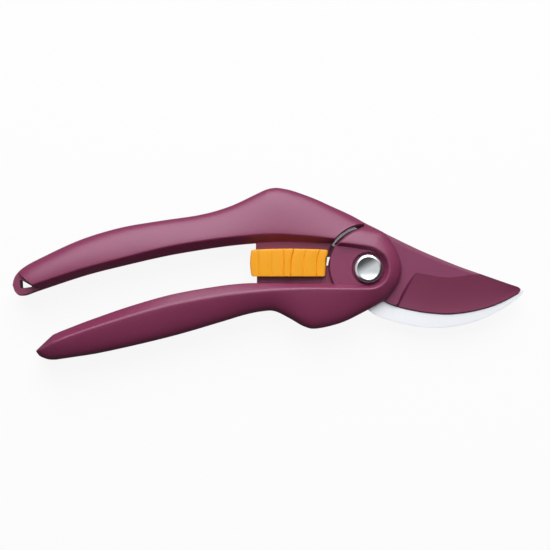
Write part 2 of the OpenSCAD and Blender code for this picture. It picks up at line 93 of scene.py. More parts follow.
upper_cheek = np.array([[6.4, 14.3, 0.6, 6.9, recess_wall, half_t, floor_z]])
lower_cheek = np.array([[6.2, -12.9, 1.2, -6.4, recess_wall, half_t, floor_z]])
nose_shoulder = 0.65
nose_angles = np.radians(np.arange(-45, 46, 22.5))
nose_radii = nose_r + nose_shoulder * np.array([0, 0, 0, 0, 1])
nose = np.array([[r * math.cos(a), r * math.sin(a), recess_r * math.cos(a), recess_r * math.sin(a),
                  recess_wall, half_t, floor_z] for r, a in zip(nose_radii, nose_angles)])
upper_rear_turn = np.array([
    [-7.0, 21.5, -14.0, 9.6, 2.2, half_t, floor_z],
    [-1.0, 18.2, -6.0, 8.1, 1.9, half_t, floor_z]])
lower_rear_end = np.array([
    [3.0, -14.8, -4.8, -7.4, recess_wall, half_t, floor_z],
    [-1.2, -16.7, -12.6, -8.6, recess_wall, half_t, floor_z]])


def bend(a, b, c, n):
    """n points on the curve that leaves a and reaches c along the lines to b."""
    t = np.linspace(0, 1, n)[:, None]
    return (1 - t) ** 2 * np.asarray(a) + 2 * t * (1 - t) * np.asarray(b) + t ** 2 * np.asarray(c)


def through(rows, n):
    """A smooth row of stations through the given ones, n to a step."""
    rows = np.asarray(rows, float)
    last = len(rows) - 1
    out = []
    for i in range(last):
        a, b, c, d = rows[max(i - 1, 0)], rows[i], rows[i + 1], rows[min(i + 2, last)]
        for t in np.arange(n) / n:
            out.append(b + 0.5 * t * (c - a + t * (2 * a - 5 * b + 4 * c - d + t * (3 * (b - c) + d - a))))
    return np.array(out + [rows[last]])


def section(row, base, ridge_r, crown, tail_crown):
    """Heights across one half: inner edge, slanted face, rounded ridge, crowned face, outer edge.

    Where the grip gets thin at its end, each of them keeps to a share of what is left.
    """
    width = np.hypot(*(row[0:2] - row[2:4]))
    slant = row[4]
    top = min(row[5], half_t)
    lip = np.array([0.0, min(row[6], floor_z, 0.7 * top)])
    ridge = np.array([slant, top])
    side = min(side_z, 0.5 * top)
    up = (ridge - lip) / np.linalg.norm(ridge - lip)
    round_r = min(ridge_r, 0.4 * slant, 0.2 * (width - slant))
    start = round_r / (width - slant)
    u = start + (1 - start) * np.sin(np.linspace(0, math.pi / 2, 16))
    flat, power, drop = [np.interp(row[0], tail_x, pair) for pair in zip(tail_crown, crown)]
    fall = (1 - flat * u - (drop - flat) * u ** power) * (1 - u ** edge_power) ** edge_root
    face = np.column_stack([slant + (width - slant) * u, side + (top - side) * fall])
    ease = min(lip_r, 0.3 * slant)
    return np.vstack([
        [[0.0, base]],
        bend(lip - [0, ease], lip, lip + up * ease, 4),
        bend(ridge - up * round_r, ridge, face[0], 6)[:-1],
        face,
        [[width, base]]])


def along(points, shares, offset=0.0):
    """Points at shares of the way along a smooth line, moved sideways to its left by an offset."""
    line = through(points, 8)
    steps = np.hypot(*np.diff(line, axis=0).T)
    way = np.concatenate([[0], np.cumsum(steps)]) / steps.sum()
    slope = np.gradient(line, way, axis=0)
    left = np.column_stack([-slope[:, 1], slope[:, 0]]) / np.hypot(*slope.T)[:, None]
    line = line + left * offset
    return np.column_stack([np.interp(shares, way, line[:, k]) for k in (0, 1)])


def solid(name, points, faces):
    """A closed mesh object, in mm."""
    mesh = bpy.data.meshes.new(name)
    mesh.from_pydata([tuple(map(float, p)) for p in points], [], [tuple(map(int, f)) for f in faces])
    work = bmesh.new()
    work.from_mesh(mesh)
    bmesh.ops.remove_doubles(work, verts=work.verts, dist=1e-4)
    bmesh.ops.recalc_face_normals(work, faces=work.faces)
    work.to_mesh(mesh)
    work.free()
    piece = bpy.data.objects.new(name, mesh)
    bpy.context.scene.collection.objects.link(piece)
    return piece


def handle_half(name, rows, base, ridge_r, crown, tail_crown, end=None, end_side=1, inset=0.0, per_row=8,
                rear=False, draft=0.0):
    """One half of a handle over its stations, closed by a flat parting face and a round-edged end."""
    rows = through(rows, per_row)
    count = len(rows)
    morph = 2 * per_row
    rings = []
    for k, row in enumerate(rows):
        profile = section(row, base, ridge_r, crown, tail_crown)
        width = profile[-1, 0]
        share = (inset + profile[:, 0] * (1 - 2 * inset / width)) / width
        xy = row[2:4] + np.outer(share, row[0:2] - row[2:4])
        if end is not None:
            t = np.clip((k - (count - 1 - morph)) / morph, 0, 1)
            t = t * t * (3 - 2 * t)
            xy = (1 - t) * xy + t * along(end, share, end_side * end_edge)
        rings.append(np.column_stack([xy, profile[:, 1]]))
    if end is not None:
        for step in (0.3, 0.0):
            xy = along(end, share, end_side * end_edge * step)
            z = np.maximum(profile[:, 1] - end_edge * (1 - step), base)
            rings.append(np.column_stack([xy, z]))
    m = len(rings[0])
    n = len(rings)
    points = np.vstack(rings)
    foot = points[(n - 1) * m + 2:n * m - 2].copy()
    foot[:, 2] = base
    if draft:
        level, leant = along(end, share[2:-2]), along(end, share[2:-2], -end_side * draft)
        foot[:, :2] = level + (leant - level) * np.minimum(1, 2 * (1 - share[2:-2]))[:, None]
    points = np.vstack([points, foot])
    faces = [(i * m + j, i * m + j + 1, (i + 1) * m + j + 1, (i + 1) * m + j)
             for i in range(n - 1) for j in range(m - 1)]
    faces.append(tuple(range(m)))
    wall_top = [(n - 1) * m + j for j in range(1, m - 1)]
    wall_foot = [(n - 1) * m] + list(range(n * m, n * m + m - 4)) + [n * m - 1]
    faces += [(wall_top[j], wall_top[j + 1], wall_foot[j + 1], wall_foot[j])
              for j in range(len(wall_top) - 1)]
    inner_foot = [i * m for i in range(n)]
    outer_foot = [i * m + m - 1 for i in range(n - 1, -1, -1)]
    faces.append(tuple(inner_foot + wall_foot[1:-1] + outer_foot))
    if rear:
        points[:, 2] *= -1
    return solid(name, points, faces)


def arc(centre, radius, start, stop, n):
    """Points of an arc, angles in degrees."""
    a = np.radians(np.linspace(start, stop, n))
    return np.column_stack([centre[0] + radius * np.cos(a), centre[1] + radius * np.sin(a)])


def shrunk(outline, by):
    """An outline moved inwards, for eased edges."""
    p = np.asarray(outline, float)
    ahead, behind = np.roll(p, -1, 0) - p, p - np.roll(p, 1, 0)
    turn = np.sum(p[:, 0] * np.roll(p[:, 1], -1) - np.roll(p[:, 0], -1) * p[:, 1])
    normals = [np.column_stack([-d[:, 1], d[:, 0]]) / np.hypot(*d.T)[:, None] for d in (ahead, behind)]
    both = normals[0] + normals[1]
    both /= np.maximum(np.sum(both * normals[0], axis=1), 0.5)[:, None]
    return p + both * by * np.sign(turn)


def rectangle(x, y):
    """The four corners between two x and two y."""
    return np.array([[x[0], y[0]], [x[1], y[0]], [x[1], y[1]], [x[0], y[1]]])


def plate(name, outline, low, high, ease=0.0):
    """A flat plate of an outline, with its edges eased."""
    outline = np.asarray(outline, float)
    n = len(outline)
    inner = shrunk(outline, ease) if ease else outline
    levels = [(inner, low), (outline, low + ease), (outline, high - ease), (inner, high)]
    if not ease:
        levels = [levels[0], levels[3]]
    points = np.vstack([np.column_stack([p, np.full(n, z)]) for p, z in levels])
    faces = [(k * n + i, k * n + (i + 1) % n, (k + 1) * n + (i + 1) % n, (k + 1) * n + i)
             for k in range(len(levels) - 1) for i in range(n)]
    faces += [tuple(range(n)), tuple(range((len(levels) - 1) * n, len(levels) * n))]
    return solid(name, points, faces)


def turned(name, profile, n=96):
    """A solid turned about the pivot from radius and height pairs."""
    profile = np.asarray(profile, float)
    a = np.linspace(0, 2 * math.pi, n, endpoint=False)
    points = [(r * math.cos(t), r * math.sin(t), z) for t in a for r, z in profile]
    m = len(profile)
    faces = [(i * m + j, i * m + (j + 1) % m, ((i + 1) % n) * m + (j + 1) % m, ((i + 1) % n) * m + j)
             for i in range(n) for j in range(m)]
    return solid(name, points, faces)


def join(piece, tool, operation):
    """Joins a tool to a piece, or cuts the piece with it, and removes the tool."""
    modifier = piece.modifiers.new("join", "BOOLEAN")
    modifier.operation = operation
    modifier.solver = "EXACT"
    modifier.object = tool
    graph = bpy.context.evaluated_depsgraph_get()
    result = bpy.data.meshes.new_from_object(piece.evaluated_get(graph))
    piece.modifiers.clear()
    old = piece.data
    piece.data = result
    bpy.data.meshes.remove(old)
    bpy.data.objects.remove(tool)
    return piece


def bore(piece, radius, low, high):
    """Drills a piece along the pivot's axis."""
    join(piece, turned("bore", [(0, low), (radius, low), (radius, high), (0, high)], 48), "DIFFERENCE")


def finish_piece(piece, material, sharp=38):
    """Moves a piece from mm to its place in the frame, shades it and gives it its material."""
    mesh = piece.data
    work = bmesh.new()
    work.from_mesh(mesh)
    bmesh.ops.remove_doubles(work, verts=work.verts, dist=1e-3)
    bmesh.ops.dissolve_degenerate(work, edges=work.edges, dist=1e-4)
    bmesh.ops.delete(work, geom=[e for e in work.edges if not e.link_faces], context="EDGES")
    bmesh.ops.holes_fill(work, edges=[e for e in work.edges if len(e.link_faces) == 1], sides=4)
    bmesh.ops.recalc_face_normals(work, faces=work.faces)
    work.to_mesh(mesh)
    work.free()
    mesh.transform(Matrix.Scale(0.001, 4) @ Matrix.Translation((0, 0, half_t)))
    mesh.shade_smooth()
    mesh.set_sharp_from_angle(angle=math.radians(sharp))
    mesh.materials.clear()
    mesh.materials.append(material)
    return piece


def linear(code):
    """An sRGB hex colour as linear RGBA."""
    c = np.array([int(code[k:k + 2], 16) for k in (1, 3, 5)]) / 255
    return (*np.where(c <= 0.04045, c / 12.92, ((c + 0.055) / 1.055) ** 2.4), 1.0)


def node(tree, kind, inputs=None, **settings):
    """Adds a node with its settings. Its inputs are values or other nodes' outputs."""
    made = tree.nodes.new(kind)
    for key, value in settings.items():
        setattr(made, key, value)
    for key, value in (inputs or {}).items():
        if isinstance(value, bpy.types.NodeSocket):
            tree.links.new(value, made.inputs[key])
        else:
            made.inputs[key].default_value = value
    return made


def empty_material(name):
    """A material without a surface yet, its node tree, and the coordinates that its patterns are drawn in."""
    made = bpy.data.materials.new(name)
    made.use_nodes = True
    made.node_tree.nodes.clear()
    return made, made.node_tree, node(made.node_tree, "ShaderNodeTexCoord").outputs["Object"]


# Moulded glass-filled polyamide: a satin skin with the fine spark-eroded grain of the mould, which spreads
# the highlights, and faint flow marks. Such grain is about 0.1 mm and is drawn at 0.4 mm, so that it shows.
# A colour mix takes its factor and its two colours at inputs 0, 6 and 7.
grain_size = 0.0004
flow_size = 0.014
polyamide, tree, place = empty_material("moulded_polyamide_plum")
grain = node(tree, "ShaderNodeTexNoise", {"Vector": place, "Scale": 1 / grain_size, "Detail": 2.0}).outputs[0]
flow = node(tree, "ShaderNodeTexNoise", {"Vector": place, "Scale": 1 / flow_size, "Detail": 3.0}).outputs[0]
tone = node(tree, "ShaderNodeMix", {0: flow, 6: linear("#833556"), 7: linear("#8a3a5c")},
            data_type="RGBA").outputs[2]
gloss = node(tree, "ShaderNodeMapRange", {"Value": grain, "To Min": 0.30, "To Max": 0.40}).outputs[0]
skin = node(tree, "ShaderNodeBump", {"Height": grain, "Strength": 0.42, "Distance": 0.0002}).outputs[0]
# The highlights carry a faint painted blue tint, which stands for slightly bluish lamp light
shader = node(tree, "ShaderNodeBsdfPrincipled",
              {"Base Color": tone, "Roughness": gloss, "Normal": skin, "IOR": 1.50,
               "Specular Tint": linear("#f4f2ff")}).outputs[0]
node(tree, "ShaderNodeOutputMaterial", {"Surface": shader})

head_at, rear_head_at = (0.5, 1.0), (0.5, -1.0)
upper_end_r = 17.15
head_end_r = 15.3
web_start = -44.6
web_top, web_ease, web_sink = 11.5, 0.25, 0.05
slot_low, slot_high = 1.2, 4.6
rear_floor_r, boss_r, floor_ease, floor_sink = 16.3, 7.5, 0.2, 0.1
end_from, end_sweep, end_close, end_draft = 149.1, -52.6, 0.6, 0.25
upper_handle = handle_half(
    "upper_handle_shell", np.vstack([upper_grip, upper_rear_turn, upper_cheek, nose[::-1], lower_cheek,
                                     lower_rear_end]),
    parting, upper_ridge_r, upper_crown, upper_tail_crown, arc(rear_head_at, head_end_r, 211, 264, 7),
    end_side=1, rear=True)
upper_end = np.vstack([arc(head_at, upper_end_r - end_close * s ** 1.5, end_from + end_sweep * s, 0, 1)
                       for s in np.linspace(0, 1, 7)])
front_half = handle_half(
    "upper_front", np.vstack([upper_grip, upper_front_end]), -parting - tuck, upper_ridge_r, upper_crown,
    upper_tail_crown, upper_end, end_side=1, inset=tuck_inset, draft=end_draft)
join(upper_handle, front_half, "UNION")
front_web = np.vstack([[[web_start, slot_high]], arc(head_at, upper_end_r, 167.9, 142.5, 8),
                       [[web_start, web_top]]])
join(upper_handle, plate("front_web", front_web, -parting - tuck, lip_z, web_ease), "UNION")
rear_web = [[web_start, slot_high], [-9, slot_high], [-9, 8], [-12, web_top], [web_start, web_top]]
join(upper_handle, plate("rear_web", rear_web, -lip_z, -parting - web_sink, web_ease), "UNION")
rear_floor = np.vstack([
    arc(rear_head_at, rear_floor_r, 214, 152, 12), [[-6, 7.6], [0, boss_r]],
    arc((0, 0), boss_r, 80, -80, 20), [[0, -boss_r], [-4.8, -8.4], [-11.5, -9.6]]])
join(upper_handle, plate("rear_floor", rear_floor, -floor_z, -parting - floor_sink, floor_ease), "UNION")

# The lock's rail in the web, the bore for the pivot sleeve, the thin hang loop and its three-sided hole
rail_x, rail_y, neck_y = (-45.6, -19.8), (7.2, 9.0), (4.0, 7.6)
rail_half, neck_half = 2.2, 1.2
notch_x, notch_r, notch_half = (-37.0, -28.0), 1.1, 2.0
bore_r = 3.55
clear = 12.0
loop_half = 4.0
hole_round, side_grow, corner_grow = 0.27, 0.22, 0.32
join(upper_handle, plate("rail_neck", rectangle(rail_x, neck_y), -neck_half, neck_half), "DIFFERENCE")
join(upper_handle, plate("rail_head", rectangle(rail_x, rail_y), -rail_half, rail_half), "DIFFERENCE")
for x in notch_x:
    notch = plate("notch", arc((x, rail_y[1]), notch_r, 0, 345, 24), -notch_half, notch_half)
    join(upper_handle, notch, "DIFFERENCE")
bore(upper_handle, bore_r, -clear, 3)
loop_line = np.array([[-137.9, -2.6], [-131.7, -7.4]])
loop_run = loop_line[1] - loop_line[0]
loop_beyond = np.array([loop_run[1], -loop_run[0]]) * 4
loop_cut = np.array([loop_line[0] - 2 * loop_run, loop_line[1] + 2 * loop_run,
                     loop_line[1] + 2 * loop_run + loop_beyond, loop_line[0] - 2 * loop_run + loop_beyond])
join(upper_handle, plate("loop_front", loop_cut, loop_half, clear), "DIFFERENCE")
join(upper_handle, plate("loop_rear", loop_cut, -clear, -loop_half), "DIFFERENCE")
corners = np.array([[-138.1, -4.7], [-133.9, -7.1], [-138.0, -7.7]])
loop_hole = []
for i, corner in enumerate(corners):
    outwards = corner - corners.mean(0)
    a, c = [corner + (corners[j] - corner) * hole_round + outwards * side_grow for j in (i - 1, (i + 1) % 3)]
    loop_hole.append(bend(a, corner + outwards * corner_grow, c, 5))
join(upper_handle, plate("loop_hole", np.vstack(loop_hole), -clear, clear), "DIFFERENCE")
finish_piece(upper_handle, polyamide)
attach(upper_handle, "upper_half")
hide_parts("upper_handle")


# Lower handle: the shorter grip, of the same polyamide, moulded round the cutting blade's tang. Its front half
# turns round the bolt as a bulging rim with a sunk floor inside, and its rear half stops short of the hook.
lower_ridge_r = 0.9
lower_crown = (0.25, 2.0, 0.53)
head_draft = 0.8
lap_r, fan_r = 17.6, 45.0
lower_web_x, lower_web_y = (web_start + 0.4, -9.0), (-7.2, slot_low)
front_floor_r = 15.8
rib_y = (-1.8, 2.2)
head_bore_r = 3.8
lower_grip = np.array([
    [-131.9, -33.4, -132.0, -32.6, 0.2, 4.51, lip_z],
    [-130.6, -35.0, -130.8, -31.4, 0.8, 6.01, lip_z],
    [-127.6, -36.2, -128.4, -29.1, 1.7, 7.21, lip_z],
    [-124.8, -36.4, -125.9, -26.8, 2.4, 8.01, lip_z],
    [-122.4, -36.1, -124.4, -25.9, 2.8, 8.41, lip_z],
    [-117.0, -35.3, -119.5, -23.9, 2.75, half_t, 3.4],
    [-107.0, -33.7, -109.5, -20.1, 3.15, half_t, 3.8],
    [-91.0, -30.2, -94.0, -14.8, 3.6, half_t, 4.8],
    [-75.0, -26.2, -77.5, -10.2, 3.9, half_t, 5.6],
    [-59.0, -21.5, -60.5, -7.2, 3.75, half_t, 5.7],
    [-49.0, -18.5, -50.0, -6.0, 3.6, half_t, 5.6],
    [-42.0, -17.1, -42.0, -5.8, 3.0, half_t, 5.8],
    [-37.0, -17.1, -37.0, -5.8, 2.6, half_t, 6.0],
    [-31.0, -20.0, -31.0, -5.9, 2.15, half_t, 6.1],
    [-25.5, -23.1, -26.0, -6.0, 1.85, half_t, floor_z],
    [-20.5, -24.0, -20.5, -6.1, 1.7, half_t, floor_z],
    [-11.0, -21.8, -13.0, -6.2, 1.7, half_t, floor_z],
    [-3.0, -18.1, -6.0, -6.3, 1.7, half_t, floor_z]])
upper_turn_end = np.array([
    [3.2, 15.9, -5.0, 7.9, recess_wall, half_t, floor_z],
    [0.2, 17.4, -12.8, 9.2, 1.6, half_t, floor_z]])
head_end_line = [[-12.8, 9.2], [-10.9, 11.1], [-8.4, 13.2], [-5.7, 14.8], [-3.3, 15.9], [-1.2, 16.75]]
lower_handle = handle_half(
    "lower_handle_shell", np.vstack([lower_grip, lower_cheek, nose, upper_cheek, upper_turn_end]), parting,
    lower_ridge_r, lower_crown, lower_crown, head_end_line, end_side=-1, draft=head_draft)
rear_half = handle_half("lower_rear", lower_grip, -parting - tuck, lower_ridge_r, lower_crown, lower_crown,
                        inset=tuck_inset, rear=True)
lap = turned("lap", [(0, -clear), (lap_r, -clear), (lap_r, 3), (0, 3)], 128)
lap.data.transform(Matrix.Translation((*rear_head_at, 0)))
join(rear_half, lap, "DIFFERENCE")
fan = np.vstack([[[0, 0]], arc((0, 0), fan_r, 235.8, 350, 12)])
join(rear_half, plate("hook_fan", fan, -clear, 3), "DIFFERENCE")
join(lower_handle, rear_half, "UNION")
lower_rear_web = np.vstack([[[lower_web_x[0], lower_web_y[0]]], arc(rear_head_at, lap_r, 200.6, 172.8, 8),
                            [[lower_web_x[0], lower_web_y[1]]]])
join(lower_handle, plate("lower_rear_web", lower_rear_web, -lip_z, parting + tuck, web_ease), "UNION")
lower_front_web = plate("lower_front_web", rectangle(lower_web_x, lower_web_y), parting + web_sink, lip_z,
                        web_ease)
join(lower_handle, lower_front_web, "UNION")
front_floor = np.vstack([
    arc(head_at, front_floor_r, 146, 208.5, 12), [[-6, -7.4], [0, -boss_r]],
    arc((0, 0), boss_r, -80, 80, 20), [[0, 7.7], [-4.8, 8.9], [-11.2, 10.2]]])
join(lower_handle, plate("front_floor", front_floor, parting + floor_sink, floor_z, floor_ease), "UNION")
join(lower_handle, plate("rib_slot", rectangle(rail_x, rib_y), -neck_half, neck_half), "DIFFERENCE")
bore(lower_handle, head_bore_r, -3, 9)
washer_ring = [(5.62, 4.9), (6.25, 4.9), (6.35, 5.8), (6.7, 6.4), (6.7, 7.5), (5.62, 7.5)]
join(lower_handle, turned("washer_ring", washer_ring), "DIFFERENCE")

# The hidden pocket for the return spring's coil and its leg, and the groove where the web meets the head
pocket_r, pocket_top = (8.7, 10.7), 5.21
leg_groove_x, leg_groove_y, leg_groove_low, leg_groove_turn = (8.9, 10.5), (-0.5, 6.5), 3.76, 74
web_groove_r, web_groove_from, web_groove_to = (16.3, 15.7), 178, 207
pocket = rectangle(pocket_r, (slip_z, pocket_top))
join(lower_handle, turned("spring_pocket", pocket), "DIFFERENCE")
leg_groove = plate("leg_groove", rectangle(leg_groove_x, leg_groove_y), leg_groove_low, pocket_top)
leg_groove.data.transform(Matrix.Rotation(math.radians(leg_groove_turn), 4, "Z"))
join(lower_handle, leg_groove, "DIFFERENCE")
groove = np.vstack([arc(head_at, web_groove_r[0], web_groove_from, web_groove_to, 10),
                    arc(head_at, web_groove_r[1], web_groove_to, web_groove_from, 10)])
join(lower_handle, plate("web_groove", groove, 1.6, 4.0), "DIFFERENCE")
finish_piece(lower_handle, polyamide)
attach(lower_handle, "lower_half")
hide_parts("lower_handle")


# Hook blade: the counter blade, punched from plain steel plate and ground bright on both faces. Its tang is
# moulded into the upper handle. It lies behind the cutting blade, so only a crescent shows below the edge.
hook_low, hook_high = -2.75, -slip_z
hook_ease = 0.06
blade_hub_r = 12.6
coil_r, leg_a, leg_hole_r = 9.7, 20, 0.55
hook_edge = through([[0.6, -16.8], [4.2, -19.0], [9.0, -20.6], [13.8, -21.9], [18.6, -22.9], [23.4, -23.5],
                     [28.2, -23.6], [33.0, -23.3], [37.8, -22.5], [42.6, -21.2], [47.4, -19.4], [52.2, -17.0],
                     [57.0, -14.1], [60.4, -11.6]], 4)
hook_tip = bend([60.4, -11.6], [62.6, -9.8], [62.2, -8.6], 5)[1:]
hook_inside = bend([61.6, -8.4], [30.1, -21.0], [10.5, -7.0], 24)
hook_tang = [[-4.4, 16.3], [-18.0, 22.0], [-48.0, 19.5], [-48.0, 14.0], [-20.0, 12.6], [-14.8, 9.6]]
hook_outline = np.vstack([
    hook_edge, hook_tip, hook_inside, arc((0, 0), blade_hub_r, -30, 98, 24), hook_tang,
    arc((0, 0), blade_hub_r, 146, 234, 20)])
hook = plate("hook_blade_plate", hook_outline, hook_low, hook_high, hook_ease)
bore(hook, bore_r, -4, 2)
leg_at = arc((0, 0), coil_r, leg_a, leg_a, 1)[0]
join(hook, plate("leg_hole", arc(leg_at, leg_hole_r, 0, 345, 24), -4, 2), "DIFFERENCE")

# Ground steel: fine parallel scratches left by the belt across the plate, which stretch the reflections.
# Such scratches are about 0.1 mm apart and are drawn 0.4 mm apart, so that they show.
scratch_gap, scratch_l, scratch_turn = 0.0004, 0.008, 20
ground_steel, tree, place = empty_material("belt_ground_steel")
lay = node(tree, "ShaderNodeMapping", {"Vector": place, "Rotation": (0, 0, math.radians(scratch_turn)),
                                       "Scale": (1 / scratch_gap, 1 / scratch_l, 1 / scratch_l)}).outputs[0]
lines = node(tree, "ShaderNodeTexNoise",
             {"Vector": lay, "Scale": 1.0, "Detail": 4.0, "Roughness": 0.7}).outputs[0]
tone = node(tree, "ShaderNodeMix", {0: lines, 6: linear("#eef1f6"), 7: linear("#f4f6fa")},
            data_type="RGBA").outputs[2]
gloss = node(tree, "ShaderNodeMapRange", {"Value": lines, "To Min": 0.42, "To Max": 0.50}).outputs[0]
skin = node(tree, "ShaderNodeBump", {"Height": lines, "Strength": 0.05, "Distance": 0.00005}).outputs[0]
shader = node(tree, "ShaderNodeBsdfPrincipled",
              {"Base Color": tone, "Metallic": 1.0, "Roughness": gloss, "Normal": skin}).outputs[0]
node(tree, "ShaderNodeOutputMaterial", {"Surface": shader})
finish_piece(hook, ground_steel)
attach(hook, "upper_half")
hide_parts("hook_blade")


# Cutting blade: hardened steel plate with a hollow-ground cutting side, coated all over in a low-friction plum
# finish. Its tang is moulded into the lower handle. It turns on the pivot sleeve in front of the hook.
blade_low, blade_top = slip_z, 2.35
edge_z = 0.85
edge_bevel, edge_t = 0.5, 0.12
spine_ease, spine_drop, ease_taper = np.array([1.7, 0.7]), np.array([0.12, 0.45]), 0.3
step_w, step_skip = 0.9, 3
grind_rows, hollow, lip_from = 8, 1.5, 0.92
tip_bulge, tip_round, tip_from, tip_drop = 1.05, 0.7, 0.97, 0.9
flat_spans, spine_steps = 5, 10
slot_a, slot_b, slot_half = 28, -23, 0.7
root_slope = np.array([-0.2, 0.7])
spine = [[6.4, 14.28], [13.0, 11.0], [21.0, 7.2], [29.0, 3.8], [37.0, 0.6], [45.0, -2.2], [53.0, -5.0],
         [59.7, -7.25]]
cut = [[60.4, -9.95], [58.9, -10.9], [54.6, -13.2], [49.8, -15.2], [45.0, -16.6], [40.2, -17.6], [35.4, -18.2],
       [30.6, -18.4], [23.4, -17.8], [18.6, -17.0], [13.8, -15.95], [9.0, -14.5], [6.6, -13.3]]
grind_line = [[19.2, -1.6], [23.0, -2.3], [27.8, -3.2], [32.6, -3.5], [37.4, -3.1], [41.4, -2.5], [45.0, -2.2]]
step_line = [[19.2, -1.6], [17.0, -4.4], [15.0, -7.4], [13.0, -11.2], [11.4, -15.3]]
spine_full = through(spine, spine_steps)
flat_count = flat_spans * spine_steps + 1
spine_flat, spine_ground = spine_full[:flat_count], spine_full[flat_count:]
cut_full = through(cut, 6)
grind = through(grind_line, 5)
upper_line = np.vstack([grind, spine_ground])
columns = len(upper_line)
step_at = int(np.argmin(np.abs(cut_full[:, 0] - (step_line[-1][0] + step_w))))
lower_part = cut_full[:step_at + 1][::-1]
steps = np.hypot(*np.diff(lower_part, axis=0).T)
way = np.concatenate([[0], np.cumsum(steps)]) / steps.sum()
upper_way = np.concatenate([[0], np.cumsum(np.hypot(*np.diff(upper_line, axis=0).T))])
upper_way /= upper_way[-1]
lower_line = np.column_stack([np.interp(upper_way, way, lower_part[:, k]) for k in (0, 1)])
rows_at = np.append(np.linspace(0, lip_from, grind_rows), 1)
top_at_line = np.concatenate([np.full(len(grind), blade_top),
                              np.linspace(blade_top, blade_top - tip_drop, len(spine_ground) + 1)[1:]])
points, faces = [], []
for s in range(columns):
    upper, lower = upper_line[s], lower_line[s]
    inward = (upper - lower) / np.linalg.norm(upper - lower)
    toward_tip = max(0.0, (s / (columns - 1) - tip_from) / (1 - tip_from))
    for r in rows_at:
        xy = upper + (lower + inward * edge_bevel - upper) * r
        z = top_at_line[s] + (edge_z - top_at_line[s]) * (1 - (1 - min(r / lip_from, 1)) ** hollow)
        points.append((xy[0] + toward_tip * tip_bulge * math.sin(math.pi * r) ** tip_round, xy[1], z))
    points.append((lower[0], lower[1], blade_low + edge_t))
deep = grind_rows + 2
faces += [(s * deep + r, (s + 1) * deep + r, (s + 1) * deep + r + 1, s * deep + r + 1)
          for s in range(columns - 1) for r in range(deep - 1)]


def put(group, z):
    """Adds points at a height and gives their numbers."""
    start = len(points)
    points.extend((x, y, z) for x, y in group)
    return list(range(start, len(points)))


tang = [[-2.0, -14.6], [-14.0, -17.0], [-30.0, -15.0], [-46.0, -13.6], [-46.0, -8.8], [-13.4, -7.4]]
hub = arc((0, 0), blade_hub_r, 205, 80, 24)
step_top = along(step_line, np.linspace(0, 1, deep))
flat_cut = cut_full[step_at + step_skip:]
ease_here = np.outer(spine_ease, np.linspace(1, 0, len(spine_flat)) ** ease_taper)
slope = np.gradient(spine_flat, axis=0)
right = np.column_stack([slope[:, 1], -slope[:, 0]]) / np.hypot(*slope.T)[:, None]
flat_spine = put(spine_flat + right * ease_here[0][:, None], blade_top)
eased_spine = put(spine_flat + right * ease_here[1][:, None], blade_top - spine_drop[0])
side_spine = put(spine_flat, blade_top - spine_drop[1])
low_spine = put(spine_flat, blade_low)
step_top[-1] += root_slope
flat_step = put(step_top[1:], blade_top)
flat_root = put(np.vstack([flat_cut + root_slope, tang, hub]), blade_top)
low_root = put(np.vstack([flat_cut, tang, hub]), blade_low)
low_step = put(step_top[-1:] - root_slope, blade_low)
low_ground = put(spine_ground, blade_low)
low_tip = put([points[(columns - 1) * deep + r][:2] for r in range(1, deep)], blade_low)
low_cut = put(lower_line[-2::-1], blade_low)
grind_first = list(range(deep))
grind_top = [s * deep for s in range(len(grind))]
faces.append(tuple(flat_spine[:-1] + grind_top[::-1] + flat_step + flat_root))
step_edge = [grind_first[0]] + flat_step
faces += [(step_edge[r], step_edge[r + 1], grind_first[r + 1], grind_first[r]) for r in range(deep - 1)]
rim = flat_spine[:-1] + [grind_top[-1]]
for a, b in ((rim, eased_spine), (eased_spine, side_spine), (side_spine, low_spine)):
    faces += [(a[i], b[i], b[i + 1], a[i + 1]) for i in range(len(rim) - 1)]
top_loop = ([side_spine[-1]] + [s * deep for s in range(len(grind), columns)]
            + [(columns - 1) * deep + r for r in range(1, deep)]
            + [s * deep + deep - 1 for s in range(columns - 2, -1, -1)] + [flat_step[-1]] + flat_root
            + [side_spine[0]])
low_loop = [low_spine[-1]] + low_ground + low_tip + low_cut + low_step + low_root + [low_spine[0]]
faces += [(top_loop[i], top_loop[i + 1], low_loop[i + 1], low_loop[i]) for i in range(len(top_loop) - 1)]
faces.append((rim[0], flat_root[-1], side_spine[0], eased_spine[0]))
faces.append((rim[-1], eased_spine[-1], side_spine[-1], len(grind) * deep))
faces.append(tuple(low_spine[:-1] + low_loop[:-1]))
blade = solid("cutting_blade_plate", points, faces)
bore(blade, bore_r, -1, 4)
leg_slot = np.vstack([arc((0, 0), coil_r + slot_half, slot_b, slot_a, 20),
                      arc((0, 0), coil_r - slot_half, slot_a, slot_b, 20)])
join(blade, plate("leg_slot", leg_slot, -1, 4), "DIFFERENCE")

# Low-friction coating: a thin satin film over the ground steel, so the grinding lines still show faintly
# through it. They run from spine to edge and are drawn 0.4 mm apart, coarser than they are, so that they show.
line_gap, line_l, line_turn = 0.0004, 0.00667, -20
cloud_size = 0.0111
coating, tree, place = empty_material("low_friction_coating_plum")
lay = node(tree, "ShaderNodeMapping", {"Vector": place, "Rotation": (0, 0, math.radians(line_turn)),
                                       "Scale": (1 / line_gap, 1 / line_l, 1 / line_l)}).outputs[0]
lines = node(tree, "ShaderNodeTexNoise",
             {"Vector": lay, "Scale": 1.0, "Detail": 3.0, "Roughness": 0.6}).outputs[0]
cloud = node(tree, "ShaderNodeTexNoise",
             {"Vector": place, "Scale": 1 / cloud_size, "Detail": 2.0}).outputs[0]
tone = node(tree, "ShaderNodeMix", {0: cloud, 6: linear("#80375a"), 7: linear("#873c60")},
            data_type="RGBA").outputs[2]
gloss = node(tree, "ShaderNodeMapRange", {"Value": lines, "To Min": 0.36, "To Max": 0.50}).outputs[0]
skin = node(tree, "ShaderNodeBump", {"Height": lines, "Strength": 0.10, "Distance": 0.00006}).outputs[0]
